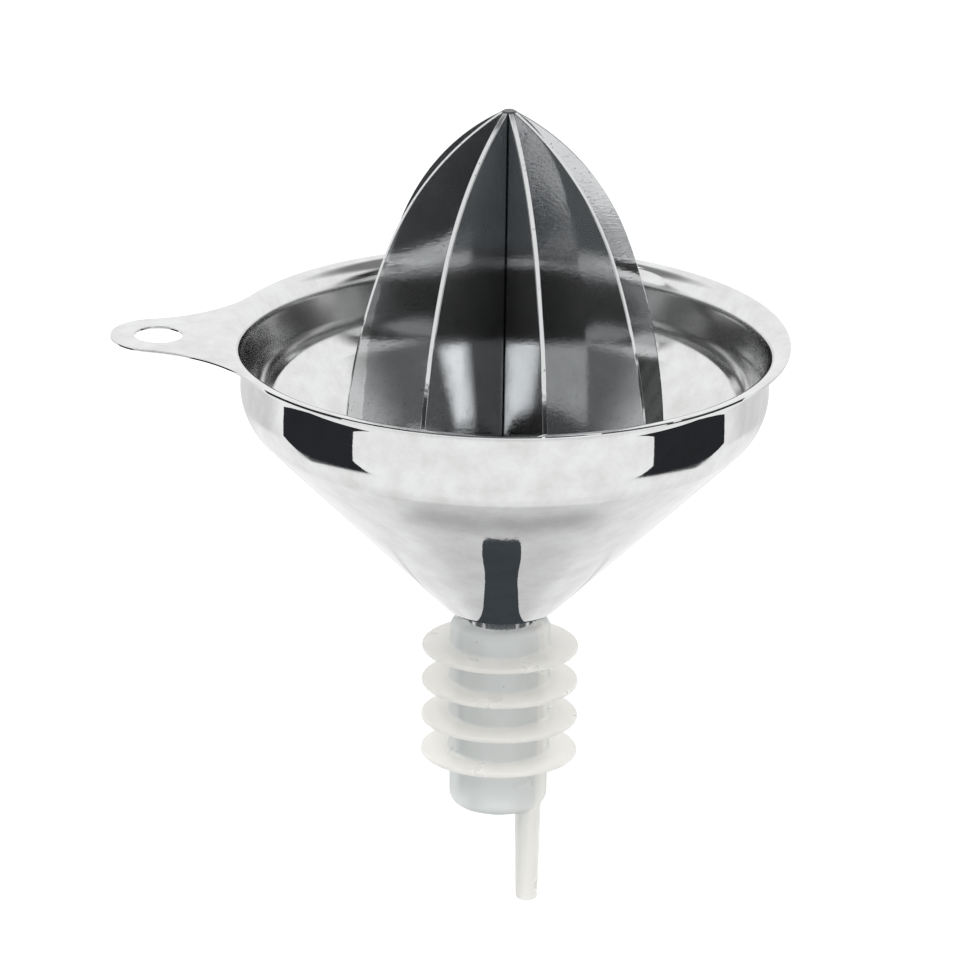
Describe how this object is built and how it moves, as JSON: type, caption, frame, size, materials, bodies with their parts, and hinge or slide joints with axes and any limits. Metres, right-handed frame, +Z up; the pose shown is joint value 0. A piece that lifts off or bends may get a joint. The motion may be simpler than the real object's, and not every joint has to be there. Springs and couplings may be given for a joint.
{
  "type": "bottle-top citrus reamer funnel",
  "caption": "Steel citrus reamer of flat fins standing in a funnel with a hanging tab, on a translucent bottle stopper with sealing discs and a vent tube.",
  "frame": {"origin": "on the common axis, at the underside of the lowest sealing disc, where the stopper's plain foot begins", "axes": "+Z up along the axis towards the reamer's tip, -X towards the hanging tab"},
  "size_m": [0.1201, 0.1008, 0.1472],
  "materials": {
    "stopper": "translucent natural polyethylene, as moulded",
    "discs": "translucent natural polyethylene, as moulded",
    "vent": "translucent natural polyethylene, as moulded",
    "funnel": "stainless steel sheet, mirror polished",
    "reamer": "stainless steel plate, mirror polished"
  },
  "bodies": {
    "stopper": {"stopper_body": "stopper", "sealing_disc_1": "discs", "sealing_disc_2": "discs", "sealing_disc_3": "discs", "sealing_disc_4": "discs", "vent_tube": "vent"},
    "funnel": {"funnel_bowl": "funnel", "hang_tab": "funnel", "funnel_neck": "funnel"},
    "reamer": {"reamer_fin_1": "reamer", "reamer_fin_2": "reamer", "reamer_fin_3": "reamer", "reamer_fin_4": "reamer", "reamer_fin_5": "reamer", "reamer_fin_6": "reamer", "reamer_fin_7": "reamer", "reamer_fin_8": "reamer"}
  },
  "joints": [
    {"name": "funnel_lift", "type": "slide", "parent": "stopper", "child": "funnel", "axis": [0, 0, 1], "range_m": [0, 0.045]},
    {"name": "reamer_lift", "type": "slide", "parent": "funnel", "child": "reamer", "axis": [0, 0, 1], "range_m": [0, 0.07]}
  ]
}
